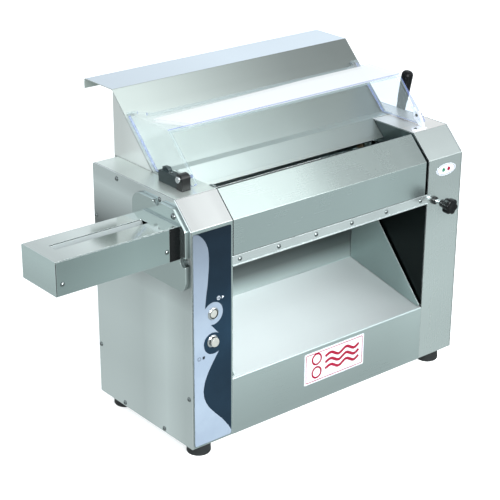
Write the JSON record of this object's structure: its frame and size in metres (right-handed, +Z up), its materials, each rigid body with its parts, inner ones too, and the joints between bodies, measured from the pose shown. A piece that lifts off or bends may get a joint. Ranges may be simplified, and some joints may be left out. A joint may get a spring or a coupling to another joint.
{
  "type": "dough sheeter",
  "caption": "Bench-top electric dough sheeter: two geared rollers between steel columns, tilted infeed chute under a hinged clear guard, side-mounted pasta-cutting head.",
  "frame": {"origin": "on the bench, at the centre of the outline of the whole machine, cutting head and infeed shelf included", "axes": "+Z up, +X to the right as the operator stands in front, +Y from the outfeed front towards the infeed shelf at the rear"},
  "size_m": [0.8704, 0.408, 0.572],
  "materials": {
    "stainless": "satin brushed stainless sheet",
    "polished_roller": "ground and polished",
    "machined_steel": "turned and milled",
    "bright_steel": "bright plated",
    "spring_steel": "oiled dark steel",
    "bronze": "sintered bronze",
    "black_rubber": "moulded matt",
    "black_plastic": "moulded satin",
    "grey_plastic": "moulded satin",
    "clear_polycarbonate": "clear with bluish edges",
    "motor_paint": "satin enamel",
    "overlay_print": "printed polyester film",
    "button_cap": "satin",
    "label_print": "printed film"
  },
  "bodies": {
    "casing": {"left_column_shell": "stainless", "right_column_shell": "stainless", "side_plates": "stainless", "left_side_cover": "stainless", "right_side_cover": "stainless", "button_head_screws": "bright_steel", "base_pan": "stainless", "rear_cover": "stainless", "small_brackets": "stainless", "tie_bars": "machined_steel", "socket_bolts": "machined_steel", "rubber_feet": "black_rubber", "infeed_chute_plate": "stainless", "chute_side_panels": "stainless", "front_cover": "stainless", "front_scraper": "stainless", "outfeed_chute": "stainless", "outfeed_cheeks": "stainless", "interlock_switch": "grey_plastic", "guard_hinges": "black_plastic", "roller_bushes": "bronze", "carriage_springs": "spring_steel", "drive_chain": "spring_steel", "gear_motor": "motor_paint", "control_box": "grey_plastic", "cable_gland": "black_plastic", "index_plate": "stainless", "control_overlay": "overlay_print", "button_bezels": "bright_steel", "contact_blocks": "black_plastic", "knob_collar": "black_plastic", "face_plates": "label_print", "cutter_flange_plate": "stainless", "cutter_casing": "stainless", "cutter_front_plate": "stainless", "cutter_bearing_blocks": "black_plastic", "cutter_combs": "stainless"},
    "front_roller_assembly": {"front_roller": "polished_roller", "front_roller_gear": "machined_steel", "driven_sprocket": "machined_steel"},
    "gap_carriage": {"bearing_carriers": "machined_steel", "carrier_bushes": "bronze", "rear_scraper": "stainless"},
    "rear_roller_assembly": {"rear_roller": "polished_roller", "rear_roller_gear": "machined_steel"},
    "drive_shaft_assembly": {"drive_shaft": "machined_steel", "drive_sprocket": "machined_steel"},
    "gap_lever": {"adjuster_shaft": "machined_steel", "gap_cams": "machined_steel", "lever_arm": "bright_steel", "lever_grip": "black_plastic"},
    "guard": {"safety_guard": "clear_polycarbonate", "guard_pins": "bright_steel"},
    "start_push": {"start_button": "button_cap"},
    "stop_push": {"stop_button": "button_cap"},
    "clamp_knob": {"knob_head": "black_plastic", "knob_stud": "bright_steel"},
    "cutting_roll_front": {"cutter_roll_front": "machined_steel"},
    "cutting_roll_rear": {"cutter_roll_rear": "machined_steel"}
  },
  "joints": [
    {"name": "front_roller_spin", "type": "hinge", "parent": "casing", "child": "front_roller_assembly", "pos_m": [0.1063, -0.1055, 0.391], "axis": [1, 0, 0], "continuous": true, "deforming": ["drive_chain"]},
    {"name": "gap_slide", "type": "slide", "parent": "casing", "child": "gap_carriage", "axis": [0, 1, 0], "range_m": [0, 0.008], "deforming": ["carriage_springs"]},
    {"name": "rear_roller_spin", "type": "hinge", "parent": "gap_carriage", "child": "rear_roller_assembly", "pos_m": [0.1063, -0.045, 0.391], "axis": [1, 0, 0], "continuous": true},
    {"name": "drive_shaft_spin", "type": "hinge", "parent": "casing", "child": "drive_shaft_assembly", "pos_m": [-0.1232, -0.0075, 0.089], "axis": [1, 0, 0], "continuous": true},
    {"name": "lever_turn", "type": "hinge", "parent": "casing", "child": "gap_lever", "pos_m": [0.1063, 0.024, 0.391], "axis": [1, 0, 0], "range_deg": [-75, 0]},
    {"name": "guard_hinge", "type": "hinge", "parent": "casing", "child": "guard", "pos_m": [0.1063, -0.0885, 0.476], "axis": [1, 0, 0], "range_deg": [0, 100]},
    {"name": "start_press", "type": "slide", "parent": "casing", "child": "start_push", "axis": [0, 1, 0], "range_m": [0, 0.002], "stiffness_N_per_m": 300},
    {"name": "stop_press", "type": "slide", "parent": "casing", "child": "stop_push", "axis": [0, 1, 0], "range_m": [0, 0.003], "stiffness_N_per_m": 300},
    {"name": "clamp_knob_turn", "type": "hinge", "parent": "casing", "child": "clamp_knob", "pos_m": [0.3458, -0.158, 0.3383], "axis": [0, 1, 0], "range_deg": [0, 720]},
    {"name": "cutting_roll_front_spin", "type": "hinge", "parent": "casing", "child": "cutting_roll_front", "pos_m": [-0.3202, -0.1055, 0.391], "axis": [1, 0, 0], "continuous": true},
    {"name": "cutting_roll_rear_spin", "type": "hinge", "parent": "casing", "child": "cutting_roll_rear", "pos_m": [-0.3202, -0.0755, 0.391], "axis": [1, 0, 0], "continuous": true}
  ],
  "couplings": [
    {"joint": "rear_roller_spin", "follows": "front_roller_spin", "ratio": -1},
    {"joint": "drive_shaft_spin", "follows": "front_roller_spin", "ratio": 1},
    {"joint": "cutting_roll_front_spin", "follows": "front_roller_spin", "ratio": 1},
    {"joint": "cutting_roll_rear_spin", "follows": "front_roller_spin", "ratio": -1},
    {"joint": "lever_turn", "follows": "gap_slide", "rad_per_m": -163.62}
  ]
}
